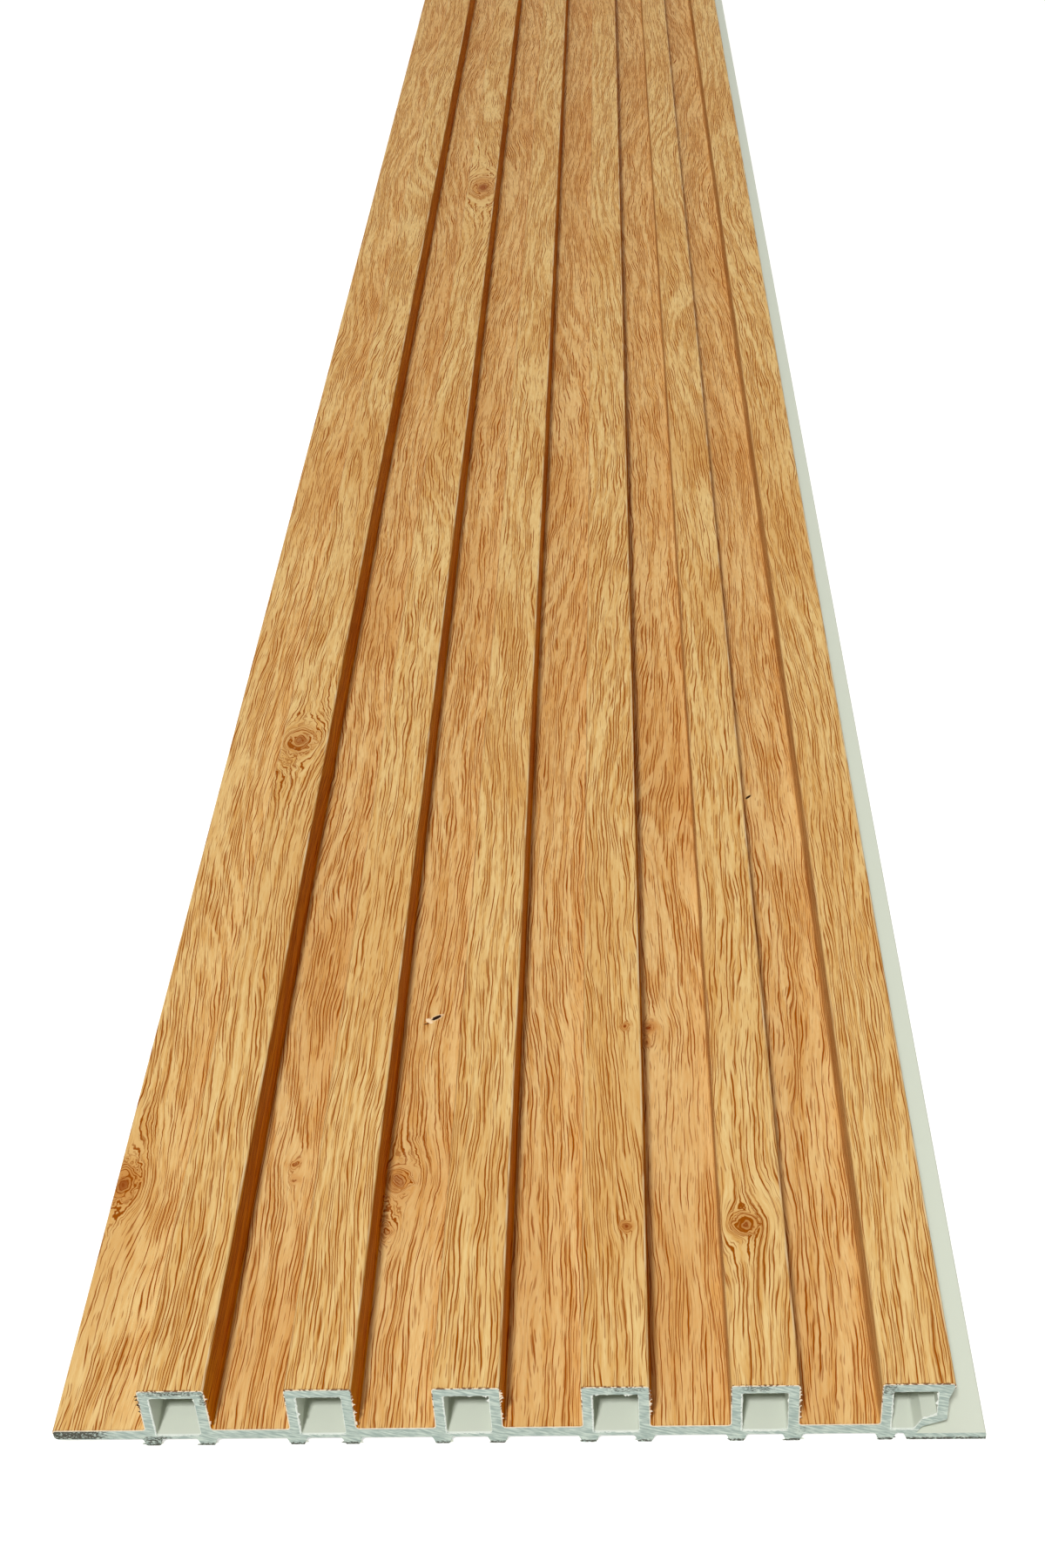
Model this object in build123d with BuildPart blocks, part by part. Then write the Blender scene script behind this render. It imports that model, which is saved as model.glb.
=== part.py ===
# Fluted wall panel: one length of hollow ribbed cladding, extruded in white PVC
# and laminated on its face with a printed oak film.
# It lies on its feet with the face up. X runs across the panel, Y along it, Z up.
# The origin is on the floor at the middle of the panel's length and width.
# Heights are measured from the floor, which the feet and the tongue stand on.

import os
from math import cos, radians, tan

from build123d import *

# Overall sizes, in millimetres
length = 2900.0
panel_height = 16.0           # floor to the finished top of a rib

# Ribs
rib_count = 6
rib_pitch = 28.0              # the next panel's first rib carries this pitch on
rib_width = 12.9              # over the film on both sides
end_rib_width = 13.5          # the last rib, over the film on its nose
wall = 1.9                    # extruded wall round each hollow
film_thickness = 0.2

# Plate between the ribs, and the thinner floor under each hollow
plate_thickness = 2.4
hollow_floor = 1.05
foot_height = 2.0             # the underside of the plate above the floor

# Feet, one under each rib wall
foot_width = 2.5              # where it stands
foot_flare = 0.75             # how much wider each flank is where it meets the plate

# Lap joint: the flange at the left lies on the next panel's tongue
flange_reach = 18.2           # from the first rib's face to the panel's left edge
tongue_reach = 6.5            # from the last rib's nose to the panel's right edge
lap_clearance = 0.2           # between a tongue and the flange laid on it
tongue_gap = 1.3              # between the last foot and the tongue's flank

# Last rib's outer side: a nose that overhangs, a wall set in from it, and a
# slanting floor that leaves room for the next panel's flange
nose_depth = 1.0              # flat height of the nose, below the film
nose_overhang = 1.1           # nose to wall, over the film
nose_taper = 3.0              # height over which the nose narrows to the wall
recess_depth = 5.6            # from the wall's face in to the foot of the slant
recess_slope = 23.0           # degrees, the slanting floor
knee_width = 1.0              # the short steep stretch at the slant's inner end
knee_rise = 2.0               # its height above the tongue
knee_web = 1.4                # from the knee in to the hollow's lower corner

# Corner radii of the extrusion
rib_top_radius = 0.5
root_radius = 0.8             # groove corners at the foot of a rib
hollow_top_radius = 0.3
hollow_floor_radius = 0.6
foot_root_radius = 0.5
tip_upper_radius = 0.6        # flange tip, under the film
tip_lower_radius = 1.0
tongue_tip_radius = 0.4
slant_radius = 0.8            # bends along the last rib's outer side

# Heights
underside = foot_height
groove_top = underside + plate_thickness
rib_top = panel_height - film_thickness
hollow_bottom = underside + hollow_floor
hollow_top = rib_top - wall
tongue_top = underside - lap_clearance

# Places across the panel
last_rib_offset = flange_reach + (rib_count - 1) * rib_pitch
panel_width = last_rib_offset + end_rib_width + tongue_reach
left_edge = -panel_width / 2
right_edge = panel_width / 2
rib_faces = [left_edge + flange_reach + i * rib_pitch for i in range(rib_count)]
plain_ribs = rib_faces[:-1]
last_rib = rib_faces[-1]

# Feet stand under the middle of each rib wall, but the last rib's outer wall
# stands on the tongue
to_left_wall = film_thickness + wall / 2
to_right_wall = rib_width - film_thickness - wall / 2
foot_places = [face + to_left_wall for face in rib_faces]
foot_places += [face + to_right_wall for face in plain_ribs]
foot_root_width = foot_width + 2 * foot_flare

# Outer side of the last rib, bare of film below its nose
nose_face = last_rib + end_rib_width - film_thickness
nose_bottom = rib_top - nose_depth
outer_wall = last_rib + end_rib_width - nose_overhang
recess_end = outer_wall - recess_depth
knee = (recess_end + knee_width, tongue_top + knee_rise)
slope = radians(recess_slope)
wall_foot = knee[1] + (outer_wall - knee[0]) * tan(slope)
tongue_start = last_rib + to_left_wall + foot_root_width / 2 + tongue_gap

# Inner side of the same walls
last_hollow_right = outer_wall - wall
slant_rise = wall / cos(slope)
inner_knee = knee[1] + slant_rise
inner_corner = inner_knee + (last_hollow_right - knee[0]) * tan(slope)

section_plane = Plane.XZ
same_height = 0.01


def corners_at(sketch, height, start=left_edge, end=right_edge):
    # The sketch's corners at one height, between two places across the panel
    level = sketch.vertices().filter_by_position(Axis.Y, height - same_height, height + same_height)
    return level.filter_by_position(Axis.X, start, end)


# Solid outline of the extrusion, with its hollows still filled
with BuildSketch(section_plane) as outline:
    # Plate, from the flange tip to the last rib
    with Locations((left_edge + film_thickness, underside)):
        Rectangle(last_rib - left_edge, plate_thickness, align=(Align.MIN, Align.MIN))
    # Ribs that stand on the plate
    with Locations([(face + film_thickness, underside) for face in plain_ribs]):
        Rectangle(rib_width - 2 * film_thickness, rib_top - underside, align=(Align.MIN, Align.MIN))
    # Last rib with its nose, recess and tongue
    with BuildLine():
        Polyline(
            (last_rib + film_thickness, underside),
            (last_rib + film_thickness, rib_top),
            (nose_face, rib_top),
            (nose_face, nose_bottom),
            (outer_wall, nose_bottom - nose_taper),
            (outer_wall, wall_foot),
            knee,
            (recess_end, tongue_top),
            (right_edge, tongue_top),
            (right_edge, 0),
            (tongue_start + foot_flare, 0),
            (tongue_start, underside),
            close=True,
        )
    make_face()
    # Feet
    with BuildLine():
        Polyline(
            (-foot_width / 2, 0),
            (foot_width / 2, 0),
            (foot_root_width / 2, underside),
            (-foot_root_width / 2, underside),
            close=True,
        )
    foot = make_face(mode=Mode.PRIVATE)
    with Locations([(place, 0) for place in foot_places]):
        add(foot)

    # Groove roots, rib tops, flange tip and tongue tip
    fillet(corners_at(outline, groove_top, start=rib_faces[0]), root_radius)
    fillet(corners_at(outline, rib_top), rib_top_radius)
    fillet(corners_at(outline, groove_top, end=rib_faces[0] - root_radius), tip_upper_radius)
    fillet(corners_at(outline, underside, end=foot_places[0] - foot_width), tip_lower_radius)
    fillet(corners_at(outline, tongue_top, start=nose_face), tongue_tip_radius)
    # Bends along the last rib's outer side
    for bend in (nose_bottom - nose_taper, wall_foot, knee[1]):
        fillet(corners_at(outline, bend, start=last_rib), slant_radius)
    # Feet, where they meet the plate; they stand on square edges
    fillet(corners_at(outline, underside, start=foot_places[0] - foot_width), foot_root_radius)

# The hollows, one in each rib, with the last one shaped to its slanting wall
with BuildSketch(section_plane) as hollows:
    with Locations([(face + film_thickness + wall, hollow_bottom) for face in plain_ribs]):
        Rectangle(
            rib_width - 2 * (film_thickness + wall),
            hollow_top - hollow_bottom,
            align=(Align.MIN, Align.MIN),
        )
    with BuildLine():
        Polyline(
            (last_rib + film_thickness + wall, hollow_bottom),
            (last_rib + film_thickness + wall, hollow_top),
            (last_hollow_right, hollow_top),
            (last_hollow_right, inner_corner),
            (knee[0], inner_knee),
            (knee[0] - knee_web, hollow_bottom),
            close=True,
        )
    make_face()
    fillet(corners_at(hollows, hollow_top), hollow_top_radius)
    fillet(corners_at(hollows, hollow_bottom), hollow_floor_radius)

# Extruded body
with BuildPart() as profile:
    with BuildSketch(section_plane):
        add(outline.sketch_local)
        add(hollows.sketch_local, mode=Mode.SUBTRACT)
    extrude(amount=length / 2, both=True)
profile.part.label = "profile"

# Film: a thin skin on the outline's face, from round the flange tip's upper
# corner, over every groove and rib, to the lower edge of the last rib's nose
film_start = groove_top - tip_upper_radius
film_end = nose_bottom
below_face = panel_height     # deep enough to clear all that lies under the film
with BuildPart() as decor_film:
    with BuildSketch(section_plane):
        add(outline.sketch_local)
        offset(amount=film_thickness)
        add(outline.sketch_local, mode=Mode.SUBTRACT)
        with Locations((0, film_start)):
            Rectangle(panel_width, below_face, align=(Align.CENTER, Align.MAX), mode=Mode.SUBTRACT)
        with Locations((knee[0] - knee_web, film_end)):
            Rectangle(panel_width, below_face, align=(Align.MIN, Align.MAX), mode=Mode.SUBTRACT)
    extrude(amount=length / 2, both=True)
decor_film.part.label = "decor_film"

os.makedirs("parts", exist_ok=True)
export_step(profile.part, "parts/profile.step")
export_step(decor_film.part, "parts/decor_film.step")
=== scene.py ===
import bmesh
import bpy
from math import radians
from mathutils import Matrix, Vector
from mathutils.noise import noise as wobble


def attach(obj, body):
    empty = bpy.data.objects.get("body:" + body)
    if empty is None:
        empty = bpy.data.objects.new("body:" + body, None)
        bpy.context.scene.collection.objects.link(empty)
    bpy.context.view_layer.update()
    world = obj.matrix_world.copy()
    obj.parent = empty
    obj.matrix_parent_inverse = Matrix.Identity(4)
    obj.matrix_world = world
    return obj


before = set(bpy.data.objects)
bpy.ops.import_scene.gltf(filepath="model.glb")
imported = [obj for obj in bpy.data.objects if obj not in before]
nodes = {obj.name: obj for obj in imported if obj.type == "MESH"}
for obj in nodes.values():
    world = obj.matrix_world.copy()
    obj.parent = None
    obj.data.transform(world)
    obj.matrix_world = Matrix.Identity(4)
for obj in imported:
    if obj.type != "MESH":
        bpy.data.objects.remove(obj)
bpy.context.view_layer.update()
print("frame loaded:", sorted(nodes))

# The panel's section as the prints, the wear, the painted shade and highlights and the burrs need
# it, in millimetres
panel = {
    "ribs": 6,
    "firstFace": -70.9,      # left face of the first rib
    "pitch": 28.0,
    "ribWidth": 12.9,
    "grooveTop": 4.6,
    "ribTop": 16.0,
    "nearEnd": -1450.0,      # the cut end that the camera looks at
}


def feed(tree, socket, value):
    if isinstance(value, bpy.types.NodeSocket):
        tree.links.new(value, socket)
    elif value is not None:
        socket.default_value = value


def addNode(tree, kind, inputs=(), **settings):
    node = tree.nodes.new("ShaderNode" + kind)
    for name, value in settings.items():
        setattr(node, name, value)
    for name, value in dict(inputs).items():
        feed(tree, node.inputs[name], value)
    return node


def calc(tree, operation, a, b=None, c=None):
    return addNode(tree, "Math", {0: a, 1: b, 2: c}, operation=operation).outputs[0]


def ramp(tree, value, low, high, outLow=0.0, outHigh=1.0, smooth=True):
    node = addNode(tree, "MapRange", {"Value": value, "From Min": low, "From Max": high,
                                      "To Min": outLow, "To Max": outHigh},
                   interpolation_type="SMOOTHSTEP" if smooth else "LINEAR")
    return node.outputs["Result"]


def window(tree, value, rise, fall):
    # 1 between two soft edges, each given as where it starts and where it is full
    return calc(tree, "MULTIPLY", ramp(tree, value, *rise), ramp(tree, value, *fall))


def swing(tree, value, reach):
    # a noise value turned into a shift to both sides
    return calc(tree, "MULTIPLY", calc(tree, "SUBTRACT", value, 0.5), reach)


def sumOfSquares(tree, a, b):
    return calc(tree, "MULTIPLY_ADD", a, a, calc(tree, "MULTIPLY", b, b))


def mixFloat(tree, factor, a, b):
    return addNode(tree, "Mix", {0: factor, 2: a, 3: b}, data_type="FLOAT").outputs[0]


def mixColor(tree, factor, a, b, blend="MIX"):
    node = addNode(tree, "Mix", {0: factor, 6: a, 7: b}, data_type="RGBA", blend_type=blend)
    return node.outputs[2]


def noise(tree, x, y, seed, detail=0.0, roughness=0.5):
    place = addNode(tree, "CombineXYZ", {"X": x, "Y": y, "Z": seed})
    node = addNode(tree, "TexNoise", {"Vector": place.outputs[0], "Scale": 1.0,
                                      "Detail": detail, "Roughness": roughness})
    return node.outputs[0]


def sizedNoise(tree, x, y, wide, long, seed, *look):
    # noise given by the size of its blots, in millimetres
    x = calc(tree, "DIVIDE", x, wide)
    y = calc(tree, "DIVIDE", y, long)
    return noise(tree, x, y, seed, *look)


def scaledNoise(tree, x, y, scaleX, scaleY, seed, *look):
    x = calc(tree, "MULTIPLY", x, scaleX)
    y = calc(tree, "MULTIPLY", y, scaleY)
    return noise(tree, x, y, seed, *look)


def splitMillimetres(tree, place):
    scaled = addNode(tree, "VectorMath", {0: place, "Scale": 1000.0}, operation="SCALE")
    split = addNode(tree, "SeparateXYZ", {0: scaled.outputs[0]}).outputs
    return split["X"], split["Y"], split["Z"]


def linear(red, green, blue):
    # a colour given in 0 to 255 display values
    def one(value):
        value = value / 255
        return value / 12.92 if value <= 0.04045 else ((value + 0.055) / 1.055) ** 2.4
    return (one(red), one(green), one(blue), 1.0)


def floats(*names):
    return [(name, "Float", None) for name in names]


def newGroup(name, inputs, outputs):
    tree = bpy.data.node_groups.new(name, "ShaderNodeTree")
    for direction, sockets in (("INPUT", inputs), ("OUTPUT", outputs)):
        for label, kind, start in sockets:
            socket = tree.interface.new_socket(label, in_out=direction,
                                               socket_type="NodeSocket" + kind)
            if start is not None:
                socket.default_value = start
    return tree, tree.nodes.new("NodeGroupInput").outputs, tree.nodes.new("NodeGroupOutput").inputs


def useGroup(tree, group, **values):
    return addNode(tree, "Group", values, node_tree=group).outputs


# Where the look of the face changes, as soft edges in millimetres of height:
# where each starts and where it is full
faceZones = {
    "wallFoot": (0.0, 0.15),         # over the groove, so that the painted shade reaches into the groove corner
    "wallTop": (-0.15, -0.7),        # from the rib's top, as the two below
    "cornerFoot": (-0.50, -0.25),
    "cornerTop": (-0.01, -0.08),
    "upper": (8.5, 11.0),            # over the floor
    "leftWallShare": 0.15,           # of the right walls' painted shade
    "leftCornerShare": 0.2,          # of the right corners' wear and painted highlight
}


def makeUnrolledFace():
    # where a point lies on the face, with the ribs unrolled flat
    tree, given, out = newGroup("unrolledFace", [("Place", "Vector", None)],
                                floats("Across", "Along", "Top", "Upper", "WallShade", "Corner"))
    x, y, z = splitMillimetres(tree, given["Place"])
    groove, top = panel["grooveTop"], panel["ribTop"]
    rise = top - groove
    halfGroove = (panel["pitch"] - panel["ribWidth"]) / 2
    fromFace = calc(tree, "SUBTRACT", x, panel["firstFace"])
    cell = calc(tree, "DIVIDE", calc(tree, "ADD", fromFace, halfGroove), panel["pitch"])
    index = calc(tree, "FLOOR", cell)
    inCell = calc(tree, "SUBTRACT", fromFace, calc(tree, "MULTIPLY", index, panel["pitch"]))
    climbed = calc(tree, "MAXIMUM", 0.0, calc(tree, "SUBTRACT", z, groove))
    climbed = calc(tree, "MINIMUM", rise, climbed)
    descended = calc(tree, "SUBTRACT", 2 * rise, climbed)
    rightHalf = calc(tree, "GREATER_THAN", inCell, panel["ribWidth"] / 2)
    local = mixFloat(tree, rightHalf, climbed, descended)
    unrolled = calc(tree, "MULTIPLY_ADD", index, 2 * rise, local)
    feed(tree, out["Across"], calc(tree, "ADD", x, unrolled))
    feed(tree, out["Along"], calc(tree, "SUBTRACT", y, panel["nearEnd"]))

    def zone(name, base=0.0):
        start, full = faceZones[name]
        return ramp(tree, z, base + start, base + full)

    def lessOnLeft(value, leftShare):
        share = calc(tree, "MULTIPLY_ADD", rightHalf, 1 - leftShare, leftShare)
        return calc(tree, "MULTIPLY", value, share)

    underTop = zone("wallTop", top)
    # painted shade on the walls, deepest on the right walls, which face away from the key lamp
    wallShade = calc(tree, "MULTIPLY", zone("wallFoot", groove), underTop)
    # pale wear and a painted highlight on the corners, most on the right ones
    cornerWearAndHighlight = calc(tree, "MULTIPLY", zone("cornerFoot", top), zone("cornerTop", top))
    feed(tree, out["Top"], calc(tree, "SUBTRACT", 1.0, underTop))
    feed(tree, out["Upper"], zone("upper"))
    feed(tree, out["WallShade"], lessOnLeft(wallShade, faceZones["leftWallShare"]))
    feed(tree, out["Corner"], lessOnLeft(cornerWearAndHighlight, faceZones["leftCornerShare"]))
    return tree


oakPrint = {
    "straw": linear(235, 203, 140),
    "tan": linear(209, 150, 69),
    "pink": linear(211, 155, 83),
    "pore": linear(152, 78, 3),
    "knot": linear(192, 122, 50),
    "heart": linear(142, 66, 12),
    # places are millimetres across the unrolled film and from the near end;
    # radius is where the rings close, reach is how strongly the grain bends round
    "knots": [
        # across, along, radius, stretch, reach, darkness
        (-54.3, 219.9, 4.0, 0.70, 1.6, 0.60),
        (-87.5, 64.5, 3.0, 0.60, 1.5, 0.80),
        (18.4, 64.5, 3.2, 0.80, 1.25, 0.50),
        (148.5, 40.1, 2.4, 0.90, 1.2, 0.72),
        (-1.3, 666.0, 5.0, 0.40, 1.4, 0.80),
        (102.3, 100.0, 1.1, 0.80, 0.6, 1.00),
        (119.1, 112.0, 1.6, 0.80, 0.9, 1.00),
        (118.6, 107.0, 1.1, 0.80, 0.7, 0.80),
        (102.0, 39.8, 1.2, 0.80, 0.6, 0.95),
        (-27.5, 70.0, 1.3, 0.70, 0.8, 0.70),
        (-27.2, 65.2, 1.0, 0.70, 0.6, 0.55),
        (17.0, 50.0, 1.6, 0.60, 1.0, 0.35),
    ],
    "knotFelt": 3.0,                 # how far beyond its rings the fibres feel a knot
    # soft edges round a knot, in its own radii
    "heartEdge": (0.60, 0.15),
    "ringEdge": (1.3, 0.5),
    "stainEdge": (1.9, 0.5),
    "stain": 0.75,
    "knotBreaks": 7.0,               # how unevenly the strokes break near a knot
    # long ovals in the growth rings alone: across, along, radius, stretch, reach
    "arches": [
        (126.0, 160.0, 6.0, 0.20, 2.6),
        (-86.0, 120.0, 6.0, 0.16, 2.6),
        (-58.0, 330.0, 6.0, 0.14, 2.6),
        (-22.0, 128.0, 5.0, 0.18, 1.8),
        (60.0, 420.0, 6.0, 0.12, 2.2),
        (150.0, 330.0, 5.0, 0.14, 2.2),
        (176.0, 250.0, 5.0, 0.14, 2.0),
        (5.0, 905.0, 7.0, 0.10, 2.4),
    ],
    # how the grain wanders: reach, then the noise's width, length, seed and detail
    "fibreSwings": [
        (22.0, 110.0, 260.0, 3.1, 0.0),
        (6.0, 24.0, 80.0, 7.7, 1.0),
        (0.8, 2.6, 16.0, 1.3, 0.0),
        (0.22, 1.1, 2.8, 9.3, 0.0),
    ],
    "knotSwing": (2.6, 2.2, 2.8, 2.2, 2.0),
    "ringSwing": (26.0, 36.0, 190.0, 12.0, 1.0),
    "strokeSwing": (1.6, 3.0, 16.0, 6.0, 0.0),
    # what colours the ground: width, length, seed, detail and roughness of the noise,
    # the values that it fades in between, and how much of it there is
    "bands": ((1.6, 60.0, 0.0, 1.0, 0.5), (0.38, 0.60), 0.33),
    "streaks": ((0.6, 9.0, 4.0, 3.0, 0.7), (0.34, 0.66), 0.44),
    "patches": ((30.0, 90.0, 5.0, 1.0, 0.5), (0.45, 0.7), 0.45),
    # dark strokes: spacing, thickness, length, how many in the pale ground and
    # how many more in the bands, and the noise's shift
    "vessels": (0.74, 0.33, 23.0, 0.61, 0.30, 0.0),
    "flecks": (0.43, 0.22, 6.0, 0.50, 0.38, 31.0),
    "fleckStrength": 0.65,
}

strokeShape = {
    "lineStep": 7.13,                # moves the noise on from one line to the next
    "bareBelow": 0.68,               # noise under this leaves a line bare
    "fuller": 0.34,                  # how far a full amount lowers that
    "fade": 0.14,                    # how softly a stroke starts and ends
    "tip": 0.25,                     # a tip's width, as a share of the middle's
    "core": 0.4,                     # share of the width that is fully dark
}


def makeStrokes(tree, x, y, dense, spacing, thick, length, least, more, shift):
    # grain lines a spacing apart, each broken along y into tapered strokes
    place = calc(tree, "DIVIDE", x, spacing)
    line = calc(tree, "FLOOR", place)
    inLine = calc(tree, "SUBTRACT", place, line)
    aside = calc(tree, "ABSOLUTE", calc(tree, "SUBTRACT", inLine, 0.5))
    amount = calc(tree, "MULTIPLY_ADD", dense, more, least)
    run = noise(tree, calc(tree, "MULTIPLY_ADD", line, strokeShape["lineStep"], shift),
                calc(tree, "DIVIDE", y, length), 0.0, 1.0)
    bare = calc(tree, "MULTIPLY_ADD", amount, -strokeShape["fuller"], strokeShape["bareBelow"])
    weight = ramp(tree, calc(tree, "SUBTRACT", run, bare), 0.0, strokeShape["fade"])
    half, tip = thick / spacing / 2, strokeShape["tip"]
    width = calc(tree, "MULTIPLY_ADD", weight, half * (1 - tip), half * tip)
    core = calc(tree, "MULTIPLY", width, strokeShape["core"])
    return calc(tree, "MULTIPLY", weight, ramp(tree, aside, width, core))


def makeKnot():
    # how far one knot pushes the grain aside, and how far off its heart is
    tree, given, out = newGroup("knot", floats("Across", "Along") + [
        ("Centre Across", "Float", 0.0), ("Centre Along", "Float", 0.0),
        ("Radius", "Float", 3.0), ("Stretch", "Float", 0.6), ("Reach", "Float", 1.3)],
        floats("Shift", "Distance"))
    dx = calc(tree, "SUBTRACT", given["Across"], given["Centre Across"])
    dy = calc(tree, "SUBTRACT", given["Along"], given["Centre Along"])
    dy = calc(tree, "MULTIPLY", dy, given["Stretch"])
    squared = sumOfSquares(tree, dx, dy)
    radiusSquared = calc(tree, "MULTIPLY", given["Radius"], given["Radius"])
    wide = calc(tree, "MULTIPLY", radiusSquared, oakPrint["knotFelt"])
    near = calc(tree, "DIVIDE", wide, calc(tree, "ADD", squared, wide))
    shift = calc(tree, "MULTIPLY", dx, near)
    feed(tree, out["Shift"], calc(tree, "MULTIPLY", shift, given["Reach"]))
    feed(tree, out["Distance"], calc(tree, "DIVIDE", calc(tree, "SQRT", squared), given["Radius"]))
    return tree


def makeOakPrint(knotGroup):
    tree, given, out = newGroup("oakPrint", floats("Across", "Along"),
                                [("Color", "Color", None), ("Pores", "Float", None)])
    u, v = given["Across"], given["Along"]

    def wander(x, reach, *look):
        return swing(tree, sizedNoise(tree, x, v, *look), reach)

    def aroundKnot(x, y, across, along, radius, stretch, reach):
        return useGroup(tree, knotGroup, Across=x, Along=y, Radius=radius, Stretch=stretch,
                        Reach=reach, **{"Centre Across": across, "Centre Along": along})

    # fibre: millimetres across, bent as the wood's fibres run
    fibre = u
    for one in oakPrint["fibreSwings"]:
        fibre = calc(tree, "ADD", fibre, wander(u, *one))
    drift = calc(tree, "SUBTRACT", fibre, u)

    # knots: each bends the fibres round itself and closes them into uneven rings
    uneven = wander(u, *oakPrint["knotSwing"])
    nearU = calc(tree, "ADD", u, uneven)
    nearV = calc(tree, "SUBTRACT", v, uneven)
    heart, around, stain = 0.0, 0.0, 0.0
    for across, along, radius, stretch, reach, darkness in oakPrint["knots"]:
        knot = aroundKnot(nearU, nearV, across, along, radius, stretch, reach)
        far = knot["Distance"]
        fibre = calc(tree, "SUBTRACT", fibre, knot["Shift"])
        near = ramp(tree, far, *oakPrint["ringEdge"])
        around = calc(tree, "MAXIMUM", around, near)
        dark = ramp(tree, far, *oakPrint["heartEdge"], 0.0, darkness)
        heart = calc(tree, "MAXIMUM", heart, dark)
        brown = ramp(tree, far, *oakPrint["stainEdge"], 0.0, darkness)
        stain = calc(tree, "MAXIMUM", stain, brown)
        ringed = calc(tree, "ADD", drift, calc(tree, "MULTIPLY_ADD", far, radius, across))
        fibre = mixFloat(tree, near, fibre, ringed)

    # growth rings: the same, swung further, so that they cross the fibres in places
    rings = calc(tree, "ADD", fibre, wander(u, *oakPrint["ringSwing"]))
    for arch in oakPrint["arches"]:
        rings = calc(tree, "SUBTRACT", rings, aroundKnot(fibre, v, *arch)["Shift"])
    look, edge, bandAmount = oakPrint["bands"]
    bands = ramp(tree, sizedNoise(tree, rings, v, *look), *edge)

    # the dark strokes follow the fibres, and break unevenly round the knots
    lines = calc(tree, "ADD", fibre, wander(fibre, *oakPrint["strokeSwing"]))
    dense = calc(tree, "MAXIMUM", bands, around)
    shaken = calc(tree, "MULTIPLY", around, uneven)
    broken = calc(tree, "MULTIPLY_ADD", shaken, oakPrint["knotBreaks"], v)
    vessels = makeStrokes(tree, lines, broken, dense, *oakPrint["vessels"])
    flecks = makeStrokes(tree, lines, broken, dense, *oakPrint["flecks"])
    flecks = calc(tree, "MULTIPLY", flecks, oakPrint["fleckStrength"])
    pores = calc(tree, "MAXIMUM", vessels, flecks)

    look, edge, amount = oakPrint["streaks"]
    streaks = ramp(tree, sizedNoise(tree, fibre, v, *look), *edge, 0.0, amount)
    tone = calc(tree, "MULTIPLY_ADD", bands, bandAmount, streaks)
    color = mixColor(tree, tone, oakPrint["straw"], oakPrint["tan"])
    look, edge, amount = oakPrint["patches"]
    patches = ramp(tree, sizedNoise(tree, u, v, *look), *edge)
    color = mixColor(tree, calc(tree, "MULTIPLY", patches, amount), color, oakPrint["pink"])
    stain = calc(tree, "MULTIPLY", stain, oakPrint["stain"])
    color = mixColor(tree, stain, color, oakPrint["knot"])
    color = mixColor(tree, pores, color, oakPrint["pore"])
    color = mixColor(tree, heart, color, oakPrint["heart"])
    feed(tree, out["Color"], color)
    feed(tree, out["Pores"], pores)
    return tree


def newMaterial(name):
    material = bpy.data.materials.new(name)
    material.use_nodes = True
    tree = material.node_tree
    tree.nodes.clear()
    shader = addNode(tree, "BsdfPrincipled")
    addNode(tree, "OutputMaterial", {"Surface": shader.outputs[0]})
    place = addNode(tree, "TexCoord").outputs["Object"]
    return material, tree, shader, place


def setMaterial(obj, material):
    obj.data.materials.clear()
    obj.data.materials.append(material)


film = {
    "roughness": 0.46,
    "poreRoughness": 0.10,           # added in the pores
    "specular": 0.02,
    "bump": 0.25,
    "poreDepth": 0.00003,            # metres
    # painted shade: the deep brown that the walls are multiplied by
    "wallShadeTone": linear(238, 184, 18),
    # nicks, near-black slit marks: across, along, degrees turned, half length, half width, painted
    # highlight on the rim
    "nicks": [
        (21.1, 114.9, 20.0, 0.80, 0.16, 0.0),
        (23.3, 117.0, 36.0, 1.30, 0.55, 1.0),
        (170.4, 203.6, 50.0, 1.10, 0.38, 0.0),
    ],
    "nickDark": linear(40, 22, 8),
    # painted highlight on a nick's rim and flap
    "nickHighlight": linear(250, 226, 186),
    # worn corners with a painted highlight: width, length, seed and detail of the noise, its soft
    # edge, how much
    "wornAndHighlight": linear(246, 222, 176),
    "wornAndHighlightNoise": (3.0, 14.0, 8.0, 2.0),
    "wornAndHighlightEdge": (0.42, 0.66),
    "wornAndHighlightAmount": 0.8,
    # at the saw cut: the noise of its crumbs, as scales, seed and detail
    "crumbs": (1.7, 2.2, 5.5, 2.0),
    "scorch": linear(112, 70, 40),
    "scorchReach": (0.50, 0.15),     # millimetres from the cut
    "scorchEdge": (0.42, 0.56),
    "scorchShare": (0.3, 0.6),       # everywhere, and more on the rib tops
    "cutEdge": linear(242, 228, 204),
    "cutEdgeReach": (0.09, 0.05),
    "chipEdge": (0.46, 0.56),
    "chipShare": (0.1, 0.8),         # everywhere, and more on the upper half
}

nickShape = {
    "frayNoise": (1.6, 1.6, 3.0, 1.0),    # scales, seed and detail
    "fray": 0.7,
    "slitMark": (1.15, 0.8),             # soft edges, in the slit's own half sizes
    "lip": (1.7, 1.3),
    "lipAmount": 0.55,
    # the painted highlight of a curled flap at its left end, wider than the slit
    "flapPlace": 1.9,
    "flapShortness": 2.1,
    "flapWidth": 0.50,
    "flapFray": 1.4,
    "flap": (1.2, 0.8),
}


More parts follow.
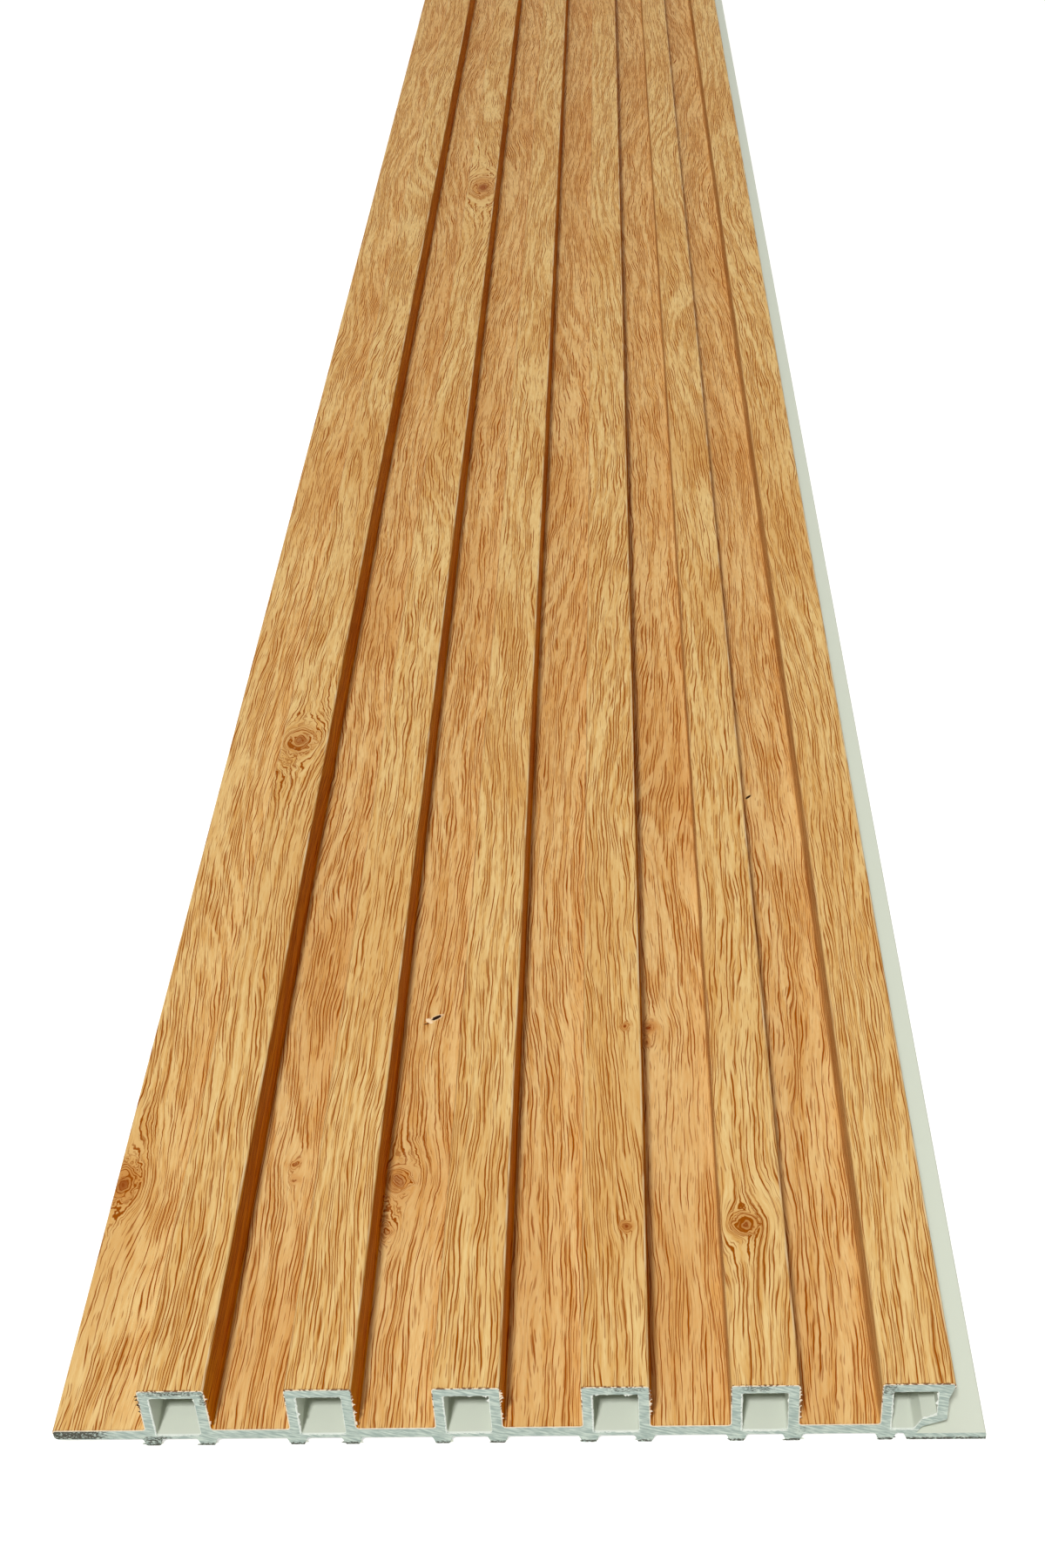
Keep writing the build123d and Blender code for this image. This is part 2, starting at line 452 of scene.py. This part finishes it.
def makeNick():
    # a near-black slit mark, and a painted highlight along its edges and on its curled flap
    tree, given, out = newGroup("nick", floats("Across", "Along") + [
        ("Centre Across", "Float", 0.0), ("Centre Along", "Float", 0.0), ("Turn", "Float", 0.0),
        ("Half Length", "Float", 1.0), ("Half Width", "Float", 0.3), ("Pale", "Float", 1.0)],
        floats("DarkSlit", "RimHighlight"))
    dx = calc(tree, "SUBTRACT", given["Across"], given["Centre Across"])
    dy = calc(tree, "SUBTRACT", given["Along"], given["Centre Along"])
    sine, cosine = calc(tree, "SINE", given["Turn"]), calc(tree, "COSINE", given["Turn"])
    longways = calc(tree, "MULTIPLY_ADD", dx, cosine, calc(tree, "MULTIPLY", dy, sine))
    sideways = calc(tree, "SUBTRACT", calc(tree, "MULTIPLY", dy, cosine),
                    calc(tree, "MULTIPLY", dx, sine))
    fray = swing(tree, scaledNoise(tree, dx, dy, *nickShape["frayNoise"]), nickShape["fray"])

    def away(along, aside):
        a = calc(tree, "DIVIDE", along, given["Half Length"])
        b = calc(tree, "DIVIDE", aside, given["Half Width"])
        return calc(tree, "SQRT", sumOfSquares(tree, a, b))

    slitMark = calc(tree, "ADD", away(longways, sideways), fray)
    feed(tree, out["DarkSlit"], ramp(tree, slitMark, *nickShape["slitMark"]))
    flapAlong = calc(tree, "ADD", longways, nickShape["flapPlace"])
    flap = away(calc(tree, "MULTIPLY", flapAlong, nickShape["flapShortness"]),
                calc(tree, "MULTIPLY", sideways, nickShape["flapWidth"]))
    flap = calc(tree, "ADD", flap, calc(tree, "MULTIPLY", fray, nickShape["flapFray"]))
    lip = ramp(tree, slitMark, *nickShape["lip"], 0.0, nickShape["lipAmount"])
    lip = calc(tree, "MAXIMUM", ramp(tree, flap, *nickShape["flap"]), lip)
    feed(tree, out["RimHighlight"], calc(tree, "MULTIPLY", lip, given["Pale"]))
    return tree


def makeFilmMaterial(unrolled, oakPrintGroup, nickGroup):
    material, tree, shader, place = newMaterial("oakFilm")
    at = useGroup(tree, unrolled, Place=place)
    u, v = at["Across"], at["Along"]
    oak = useGroup(tree, oakPrintGroup, Across=u, Along=v)
    # painted shade: the walls multiplied to a deep brown, most on the right walls
    walls = mixColor(tree, at["WallShade"], (1, 1, 1, 1), film["wallShadeTone"])
    color = mixColor(tree, 1.0, oak["Color"], walls, "MULTIPLY")
    # each nick: a near-black slit mark, and a painted highlight on its rim and flap
    for across, along, turn, halfLength, halfWidth, highlighted in film["nicks"]:
        nick = useGroup(tree, nickGroup, Across=u, Along=v, Turn=radians(turn), Pale=highlighted,
                        **{"Centre Across": across, "Centre Along": along,
                           "Half Length": halfLength, "Half Width": halfWidth})
        color = mixColor(tree, nick["RimHighlight"], color, film["nickHighlight"])
        color = mixColor(tree, nick["DarkSlit"], color, film["nickDark"])

    # the film is drawn thin and pale over the rounded corners, unevenly, with a painted highlight,
    # most on the right corners
    wornAndHighlight = ramp(tree, sizedNoise(tree, u, v, *film["wornAndHighlightNoise"]), *film["wornAndHighlightEdge"],
                0.0, film["wornAndHighlightAmount"])
    color = mixColor(tree, calc(tree, "MULTIPLY", at["Corner"], wornAndHighlight), color, film["wornAndHighlight"])

    # beside the saw cut: a scorched line on the face, most on the rib tops
    crumbs = scaledNoise(tree, u, v, *film["crumbs"])
    least, more = film["scorchShare"]
    burnt = calc(tree, "MULTIPLY", ramp(tree, v, *film["scorchReach"]),
                 ramp(tree, crumbs, *film["scorchEdge"]))
    burnt = calc(tree, "MULTIPLY", burnt, calc(tree, "MULTIPLY_ADD", at["Top"], more, least))
    color = mixColor(tree, burnt, color, film["scorch"])
    # and the film's own pale edge, with dark chips
    least, more = film["chipShare"]
    chips = calc(tree, "MULTIPLY", ramp(tree, crumbs, *film["chipEdge"]),
                 calc(tree, "MULTIPLY_ADD", at["Upper"], more, least))
    edge = mixColor(tree, chips, film["cutEdge"], film["scorch"])
    color = mixColor(tree, ramp(tree, v, *film["cutEdgeReach"]), color, edge)

    feed(tree, shader.inputs["Base Color"], color)
    shader.inputs["Specular IOR Level"].default_value = film["specular"]
    feed(tree, shader.inputs["Roughness"],
         calc(tree, "MULTIPLY_ADD", oak["Pores"], film["poreRoughness"], film["roughness"]))
    bump = addNode(tree, "Bump", {"Height": oak["Pores"], "Strength": film["bump"],
                                  "Distance": film["poreDepth"]}, invert=True)
    feed(tree, shader.inputs["Normal"], bump.outputs[0])
    return material


vinyl = {
    "skin": linear(213, 219, 205),
    "sawn": linear(153, 171, 164),
    "sawnLight": linear(202, 215, 204),
    # painted highlight on the hollows' rims
    "rimHighlight": linear(236, 241, 234),
    "rimHighlightStrength": 0.9,
    "dirt": linear(62, 62, 50),
    "roughness": 0.48,
    "sawnRoughness": 0.75,
    # smears on the sawn end: middle across, half width, lowest and highest, how much
    "smears": [
        (-85.5, 10.5, 1.9, 4.8, 1.3),
        (-68.8, 4.5, -0.3, 2.6, 1.0),
        (-64.5, 8.5, 14.3, 16.2, 0.95),
        (-58.2, 1.8, 11.5, 16.2, 0.9),
        (21.5, 6.0, 14.4, 16.0, 0.8),
        (46.0, 5.0, 14.1, 16.0, 0.85),
        (70.5, 2.6, 12.8, 16.0, 0.85),
        (54.5, 2.5, 1.0, 4.0, 0.5),
    ],
}

# Millimetres; a noise is its two scales, seed, detail and roughness, and an edge is
# where something starts and where it is full
sawCut = {
    "depth": (0.05, 0.02),           # from the end face inwards
    # saw marks, which lean a little, as the blade went through
    "lean": 0.35,
    "marks": (2.2, 0.35, 3.0, 3.0),
    "markEdge": (0.35, 0.68),
    # painted highlight: pale rims, ragged, along a hollow's left side and its floor
    "ragged": (1.6, 1.6, 1.0, 2.0),
    "raggedReach": 0.35,
    "raggedEdge": (0.3, 0.5),
    "cellStart": -7.0,               # from a rib's face, in the groove left of it
    "sidePlace": 1.98,               # from the rib's face
    "sideEdge": (0.16, 0.05),
    "sideHeight": ((2.9, 3.2), (13.9, 13.6)),
    "floorPlace": 2.93,              # over the floor
    "floorEdge": (0.17, 0.05),
    "floorWidth": ((1.9, 2.4), (11.0, 10.5)),
    # painted highlight on the edge just inside the mouths
    "insideDepth": ((0.04, 0.06), (0.45, 0.25)),
    "insideHeight": (2.6, 2.9),
    # dirt and chips: dense specks inside the smears and under the feet, stray ones elsewhere
    "specks": (1.7, 2.8, 7.0, 3.0, 0.7),
    "footHeight": (1.2, 0.35),
    "footDirt": 1.2,
    "smearSide": (1.0, 0.3),         # in half widths
    "smearFoot": (-0.1, 0.5),
    "smearTop": (0.3, -0.1),
    "smearDensity": 0.16,
    "dirtEdge": (0.58, 0.70),
    "strayEdge": (0.70, 0.76),
    "strayDirt": 0.5,
}


def makeSawnEnd():
    # colour masks for the sawn ends: saw marks, painted highlights on the hollows' rims, dirt
    tree, given, out = newGroup("sawnEnd", [("Place", "Vector", None)],
                                floats("End", "Marks", "RimHighlight", "Dirt"))
    x, y, z = splitMillimetres(tree, given["Place"])
    near, far = panel["nearEnd"], -panel["nearEnd"]
    start, full = sawCut["depth"]
    nearCut = ramp(tree, y, near + start, near + full)
    farCut = ramp(tree, y, far - start, far - full)
    end = calc(tree, "MAXIMUM", nearCut, farCut)
    feed(tree, out["End"], end)

    lean = calc(tree, "MULTIPLY_ADD", x, sawCut["lean"], z)
    cross = calc(tree, "MULTIPLY_ADD", z, -sawCut["lean"], x)
    marks = scaledNoise(tree, lean, cross, *sawCut["marks"])
    feed(tree, out["Marks"], ramp(tree, marks, *sawCut["markEdge"]))

    ragged = scaledNoise(tree, x, z, *sawCut["ragged"])
    shake = swing(tree, ragged, sawCut["raggedReach"])

    def line(value, place, edge):
        # a ragged line at a place
        off = calc(tree, "SUBTRACT", calc(tree, "ADD", value, shake), place)
        return ramp(tree, calc(tree, "ABSOLUTE", off), *edge)

    fromFace = calc(tree, "SUBTRACT", x, panel["firstFace"])
    start = sawCut["cellStart"]
    inCell = calc(tree, "WRAP", fromFace, panel["pitch"] + start, start)
    side = calc(tree, "MULTIPLY", line(inCell, sawCut["sidePlace"], sawCut["sideEdge"]),
                window(tree, z, *sawCut["sideHeight"]))
    floor = calc(tree, "MULTIPLY", line(z, sawCut["floorPlace"], sawCut["floorEdge"]),
                 window(tree, inCell, *sawCut["floorWidth"]))
    # painted highlight along the rims
    rimHighlight = calc(tree, "MULTIPLY", calc(tree, "MAXIMUM", side, floor),
               ramp(tree, ragged, *sawCut["raggedEdge"]))
    rimHighlight = calc(tree, "MULTIPLY", rimHighlight, end)
    behind = [[near + one for one in edge] for edge in sawCut["insideDepth"]]
    inside = calc(tree, "MULTIPLY", window(tree, y, *behind),
                  ramp(tree, z, *sawCut["insideHeight"]))
    feed(tree, out["RimHighlight"], calc(tree, "MAXIMUM", rimHighlight, inside))

    specks = scaledNoise(tree, x, z, *sawCut["specks"])
    where = ramp(tree, z, *sawCut["footHeight"], 0.0, sawCut["footDirt"])
    for middle, half, lowest, highest, strength in vinyl["smears"]:
        away = calc(tree, "ABSOLUTE", calc(tree, "SUBTRACT", x, middle))
        across = ramp(tree, calc(tree, "DIVIDE", away, half), *sawCut["smearSide"])
        upright = window(tree, z, [lowest + one for one in sawCut["smearFoot"]],
                         [highest + one for one in sawCut["smearTop"]])
        smear = calc(tree, "MULTIPLY", calc(tree, "MULTIPLY", across, upright), strength)
        where = calc(tree, "MAXIMUM", where, smear)
    level = calc(tree, "ADD", specks, calc(tree, "MULTIPLY", where, sawCut["smearDensity"]))
    dirt = calc(tree, "MULTIPLY", ramp(tree, level, *sawCut["dirtEdge"]), where)
    stray = ramp(tree, specks, *sawCut["strayEdge"], 0.0, sawCut["strayDirt"])
    dirt = calc(tree, "MAXIMUM", dirt, stray)
    feed(tree, out["Dirt"], calc(tree, "MULTIPLY", dirt, nearCut))
    return tree


def makeVinylMaterial(sawnEnd):
    material, tree, shader, place = newMaterial("whiteVinyl")
    at = useGroup(tree, sawnEnd, Place=place)
    sawn = mixColor(tree, at["Marks"], vinyl["sawn"], vinyl["sawnLight"])
    color = mixColor(tree, at["End"], vinyl["skin"], sawn)
    # painted highlight on the hollows' rims
    rimHighlight = calc(tree, "MULTIPLY", at["RimHighlight"], vinyl["rimHighlightStrength"])
    color = mixColor(tree, rimHighlight, color, vinyl["rimHighlight"])
    color = mixColor(tree, at["Dirt"], color, vinyl["dirt"])
    feed(tree, shader.inputs["Base Color"], color)
    feed(tree, shader.inputs["Roughness"],
         ramp(tree, at["End"], 0.0, 1.0, vinyl["roughness"], vinyl["sawnRoughness"], smooth=False))
    return material


oakGroup = makeOakPrint(makeKnot())
setMaterial(nodes["decor_film"], makeFilmMaterial(makeUnrolledFace(), oakGroup, makeNick()))
setMaterial(nodes["profile"], makeVinylMaterial(makeSawnEnd()))
print("materials made")


def millimetres(x, y, z):
    return Vector((x, y, z)) / 1000


def ribFace(index):
    return panel["firstFace"] + index * panel["pitch"]


def thicken(bm, look):
    # gives the torn bits their thickness, and sets their front just behind the cut
    bmesh.ops.solidify(bm, geom=bm.faces[:], thickness=look["thickness"] / 1000)
    low = min(vertex.co.y for vertex in bm.verts)
    start = (panel["nearEnd"] + look["behindCut"]) / 1000
    bmesh.ops.translate(bm, verts=bm.verts[:], vec=(0, start - low, 0))


def finishPiece(bm, name, materialName):
    bmesh.ops.recalc_face_normals(bm, faces=bm.faces[:])
    mesh = bpy.data.meshes.new(name)
    bm.to_mesh(mesh)
    bm.free()
    piece = bpy.data.objects.new(name, mesh)
    bpy.context.scene.collection.objects.link(piece)
    mesh.materials.append(bpy.data.materials[materialName])
    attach(piece, "root")
    return piece


mouthBurrs = {
    # corners of a hollow, across from its rib's face and up
    "hollow": [(2.1, 3.05), (2.1, 13.9), (10.8, 13.9), (10.8, 3.05)],
    "lastHollow": [(2.1, 3.05), (2.1, 13.9), (10.5, 13.9), (10.5, 7.48), (7.8, 5.86), (6.4, 3.05)],
    "cornerRadius": 0.5,
    "behindCut": 0.06,               # how far the lips start inside the mouth
    "overlap": 0.06,                 # rooted in the wall
    "firstInset": 0.1,
    "least": 0.03,
    "most": 0.16,
    "thickness": 0.12,
    "toothLength": 0.22,
    "jaggedness": 1.7,
    "jagHeight": 2.0,
    # larger torn bits: rib number, across from its face, height, reach inward, half width
    "torn": [
        (2, 7.2, 13.9, 0.65, 0.5), (2, 10.2, 13.7, 0.9, 0.7), (2, 10.8, 12.4, 0.8, 0.5),
        (3, 8.8, 13.9, 0.5, 1.2), (3, 3.0, 13.9, 0.4, 0.6),
        (4, 3.2, 3.05, 0.3, 1.0), (4, 9.8, 3.05, 0.35, 0.8), (4, 10.8, 11.5, 0.5, 0.4),
        (5, 10.5, 12.9, 0.5, 0.6), (5, 10.5, 10.6, 0.8, 0.6),
        (5, 8.0, 6.6, 0.6, 0.8), (5, 3.0, 3.05, 0.35, 0.5),
        (0, 10.6, 13.2, 0.4, 0.5), (1, 2.1, 9.0, 0.25, 0.5),
    ],
    "tornLeast": 0.4,                # of that reach, before the jags
}


def addMouthLip(whole, face, corners, torn):
    grown = mouthBurrs["overlap"]
    y = panel["nearEnd"] + mouthBurrs["behindCut"]
    middleX = sum(x for x, z in corners) / len(corners)
    middleZ = sum(z for x, z in corners) / len(corners)
    bm = bmesh.new()
    ring = [bm.verts.new(millimetres(face + x + grown * (1 if x > middleX else -1), y,
                                     z + grown * (1 if z > middleZ else -1))) for x, z in corners]
    bm.faces.new(ring)
    bmesh.ops.bevel(bm, geom=ring, offset=mouthBurrs["cornerRadius"] / 1000, offset_type="OFFSET",
                    segments=3, profile=0.5, affect="VERTICES", material=-1)
    for edge in bm.edges[:]:
        cuts = int(edge.calc_length() * 1000 / mouthBurrs["toothLength"])
        if cuts:
            bmesh.ops.subdivide_edges(bm, edges=[edge], cuts=cuts)
    bm.faces.ensure_lookup_table()
    mouth = bm.faces[0]
    outer = [vertex.co.copy() for vertex in mouth.verts]
    bmesh.ops.inset_region(bm, faces=[mouth], thickness=mouthBurrs["firstInset"] / 1000,
                           use_boundary=True, use_even_offset=True)
    for vertex in mouth.verts:
        root = min(outer, key=lambda one: (one - vertex.co).length)
        inward = (vertex.co - root).normalized()
        place = root * 1000
        jag = abs(wobble(place * mouthBurrs["jaggedness"])) * mouthBurrs["jagHeight"]
        reach = mouthBurrs["least"] + (mouthBurrs["most"] - mouthBurrs["least"]) * jag
        for across, height, most, half in torn:
            away = Vector((place.x - face - across, place.z - height)).length / half
            if away < 1:
                reach += most * (1 - away) * (mouthBurrs["tornLeast"] + jag)
        vertex.co = root + inward * (grown + reach) / 1000
    bmesh.ops.delete(bm, geom=[mouth], context="FACES_ONLY")
    lip = bpy.data.meshes.new("lip")
    bm.to_mesh(lip)
    bm.free()
    whole.from_mesh(lip)
    bpy.data.meshes.remove(lip)


def makeMouthBurrs():
    bm = bmesh.new()
    last = panel["ribs"] - 1
    for index in range(panel["ribs"]):
        corners = mouthBurrs["lastHollow" if index == last else "hollow"]
        torn = [bit[1:] for bit in mouthBurrs["torn"] if bit[0] == index]
        addMouthLip(bm, ribFace(index), corners, torn)
    thicken(bm, mouthBurrs)
    return finishPiece(bm, "mouth_burrs", "whiteVinyl")


def addRaggedEdge(bm, start, end, outward, look):
    # a torn strip on the cut's edge, from start to end (across, height), that sticks out sideways
    y = panel["nearEnd"] + look["behindCut"]
    inset = outward * look["overlap"]
    ends = [bm.verts.new(millimetres(x - inset, y, z)) for x, z in (start, end)]
    edge = bm.edges.new(ends)
    teeth = max(2, int(edge.calc_length() * 1000 / look["toothLength"]))
    bmesh.ops.subdivide_edges(bm, edges=[edge], cuts=teeth)
    # the edges of earlier strips are tagged
    root = [one for one in bm.edges if not one.tag and not one.link_faces]
    grown = bmesh.ops.extrude_edge_only(bm, edges=root)["geom"]
    for vertex in (one for one in grown if isinstance(one, bmesh.types.BMVert)):
        jag = wobble(vertex.co * 1000 * look["jaggedness"] + Vector((0, 0, look["seed"])))
        reach = look["least"] + max(0.0, jag - look["bare"]) * look["most"]
        vertex.co.x += outward * (look["overlap"] + reach) / 1000
        wave = wobble(vertex.co * look["waves"]) * look["waveHeight"] / 1000
        vertex.co.z = max(look["floor"] / 1000, vertex.co.z + wave)
    for one in bm.edges:
        one.tag = True


filmShreds = {
    "behindCut": 0.02,
    "overlap": 0.08,                 # rooted in the wall
    "toothLength": 0.16,
    "jaggedness": 2.1,
    "seed": 4.0,
    "least": 0.01,                   # how far it sticks out
    "most": 1.1,
    "bare": 0.05,                    # noise under this leaves no tooth
    "waves": 3000,                   # a metre, up and down along the strip
    "waveHeight": 0.12,
    "floor": 5.0,                    # no point goes lower
    "thickness": 0.10,
    # rib number, lowest and highest point of the torn stretch on its wall
    "rightWalls": [(0, 6.0, 15.4), (1, 5.5, 15.3), (2, 6.5, 15.4), (3, 8.0, 15.4), (4, 5.6, 15.3)],
    "leftWalls": [(0, 9.0, 15.3)],
}


def makeFilmShreds():
    bm = bmesh.new()
    for walls, across, outward in (("rightWalls", panel["ribWidth"], 1), ("leftWalls", 0.0, -1)):
        for index, lowest, highest in filmShreds[walls]:
            x = ribFace(index) + across
            addRaggedEdge(bm, (x, lowest), (x, highest), outward, filmShreds)
    thicken(bm, filmShreds)
    return finishPiece(bm, "film_shreds", "oakFilm")


footBurrs = {
    "behindCut": 0.02,
    "overlap": 0.10,
    "toothLength": 0.14,
    "jaggedness": 2.6,
    "seed": 9.0,
    "least": 0.02,
    "most": 1.3,
    "bare": -0.05,
    "waves": 3000,
    "waveHeight": 0.12,
    "floor": 0.02,
    "thickness": 0.14,
    "wallMiddle": 1.15,              # from a rib's face to the middle of its wall
    "halfWidth": 1.25,               # the foot's, where it stands
    "lowest": 0.02,
    "highest": 0.75,
    "lean": 0.28,                    # how much the flank widens over that height
}


def makeFootBurrs():
    bm = bmesh.new()
    middle = footBurrs["wallMiddle"]
    places = []
    for index in range(panel["ribs"]):
        places.append(ribFace(index) + middle)
        if index < panel["ribs"] - 1:    # the last rib's outer wall stands on the tongue
            places.append(ribFace(index) + panel["ribWidth"] - middle)
    for place in places:
        for side in (-1, 1):
            foot = place + side * footBurrs["halfWidth"]
            top = foot + side * footBurrs["lean"]
            addRaggedEdge(bm, (foot, footBurrs["lowest"]), (top, footBurrs["highest"]),
                          side, footBurrs)
    thicken(bm, footBurrs)
    return finishPiece(bm, "foot_burrs", "whiteVinyl")


for made in (makeMouthBurrs(), makeFilmShreds(), makeFootBurrs()):
    print("made", made.name, "with", len(made.data.polygons), "faces")


studio = {
    "floorSize": 30.0,
    "floorColor": linear(228, 228, 226),
    # the floor's own glow, weak near the panel so that its shadow stays, and strong
    # further off so that no horizon shows
    "nearGlow": 0.50,
    "farGlow": 0.79,
    "glowFrom": 1.6,
    "glowTo": 4.5,
    "lamps": [
        # name, place, aim, size, watts
        ("key", (-0.28, -2.95, 2.25), (0.0, -1.35, 0.0), (0.25, 0.25), 62.0),
        ("far", (-0.60, 1.20, 2.00), (0.0, 1.10, 0.0), (1.6, 1.6), 16.0),
    ],
    "ambient": 0.27,
    "ambientColor": (1.0, 0.93, 0.81, 1.0),    # a little warm, as if thrown back by wood
}


def seenDirectly(tree):
    # 1 for what is seen straight, mirrored or through glass, 0 for light that falls on things
    path = addNode(tree, "LightPath").outputs
    return calc(tree, "MAXIMUM", path["Is Camera Ray"],
                calc(tree, "MAXIMUM", path["Is Glossy Ray"], path["Is Transmission Ray"]))


def makeFloor():
    bm = bmesh.new()
    bmesh.ops.create_grid(bm, x_segments=1, y_segments=1, size=studio["floorSize"] / 2)
    mesh = bpy.data.meshes.new("floor")
    bm.to_mesh(mesh)
    bm.free()
    floor = bpy.data.objects.new("floor", mesh)
    bpy.context.scene.collection.objects.link(floor)
    material = bpy.data.materials.new("paleFloor")
    material.use_nodes = True
    tree = material.node_tree
    tree.nodes.clear()
    matt = addNode(tree, "BsdfDiffuse", {"Color": studio["floorColor"]})
    place = addNode(tree, "TexCoord").outputs["Object"]
    fromMiddle = addNode(tree, "VectorMath", {0: place}, operation="LENGTH").outputs["Value"]
    strength = ramp(tree, fromMiddle, studio["glowFrom"], studio["glowTo"],
                    studio["nearGlow"], studio["farGlow"])
    strength = calc(tree, "MULTIPLY", seenDirectly(tree), strength)
    glow = addNode(tree, "Emission", {"Strength": strength})
    both = addNode(tree, "AddShader", {0: matt.outputs[0], 1: glow.outputs[0]})
    addNode(tree, "OutputMaterial", {"Surface": both.outputs[0]})
    mesh.materials.append(material)


def makeWorld():
    world = bpy.data.worlds.new("studio")
    bpy.context.scene.world = world
    world.use_nodes = True
    tree = world.node_tree
    tree.nodes.clear()
    seen = seenDirectly(tree)
    strength = ramp(tree, seen, 0.0, 1.0, studio["ambient"], 1.0, smooth=False)
    color = mixColor(tree, seen, studio["ambientColor"], (1, 1, 1, 1))
    background = addNode(tree, "Background", {"Color": color, "Strength": strength})
    addNode(tree, "OutputWorld", {"Surface": background.outputs[0]})


def makeLamps():
    for name, place, aim, size, watts in studio["lamps"]:
        light = bpy.data.lights.new(name, "AREA")
        light.shape = "RECTANGLE"
        light.size, light.size_y = size
        light.energy = watts
        lamp = bpy.data.objects.new(name, light)
        bpy.context.scene.collection.objects.link(lamp)
        lamp.location = place
        lamp.rotation_euler = (Vector(aim) - Vector(place)).to_track_quat("-Z", "Y").to_euler()


camera = {
    "place": (0.0263, -1.6995, 0.3288),
    "yaw": -3.84,
    "pitch": 35.00,
    "roll": 3.68,
    "lens": 47.32,
    "frameHeight": 36.0,
    "clipStart": 0.01,
}


def makeCamera():
    lens = bpy.data.cameras.new("camera")
    lens.sensor_fit = "VERTICAL"
    lens.sensor_height = camera["frameHeight"]
    lens.lens = camera["lens"]
    lens.clip_start = camera["clipStart"]
    viewer = bpy.data.objects.new("camera", lens)
    bpy.context.scene.collection.objects.link(viewer)
    turn = (Matrix.Rotation(radians(-camera["yaw"]), 4, "Z")
            @ Matrix.Rotation(radians(90 - camera["pitch"]), 4, "X")
            @ Matrix.Rotation(radians(-camera["roll"]), 4, "Z"))
    viewer.matrix_world = Matrix.Translation(camera["place"]) @ turn
    bpy.context.scene.camera = viewer


makeFloor()
makeWorld()
makeLamps()
makeCamera()
bpy.context.scene.view_settings.view_transform = "Standard"
print("floor, lights and camera made")
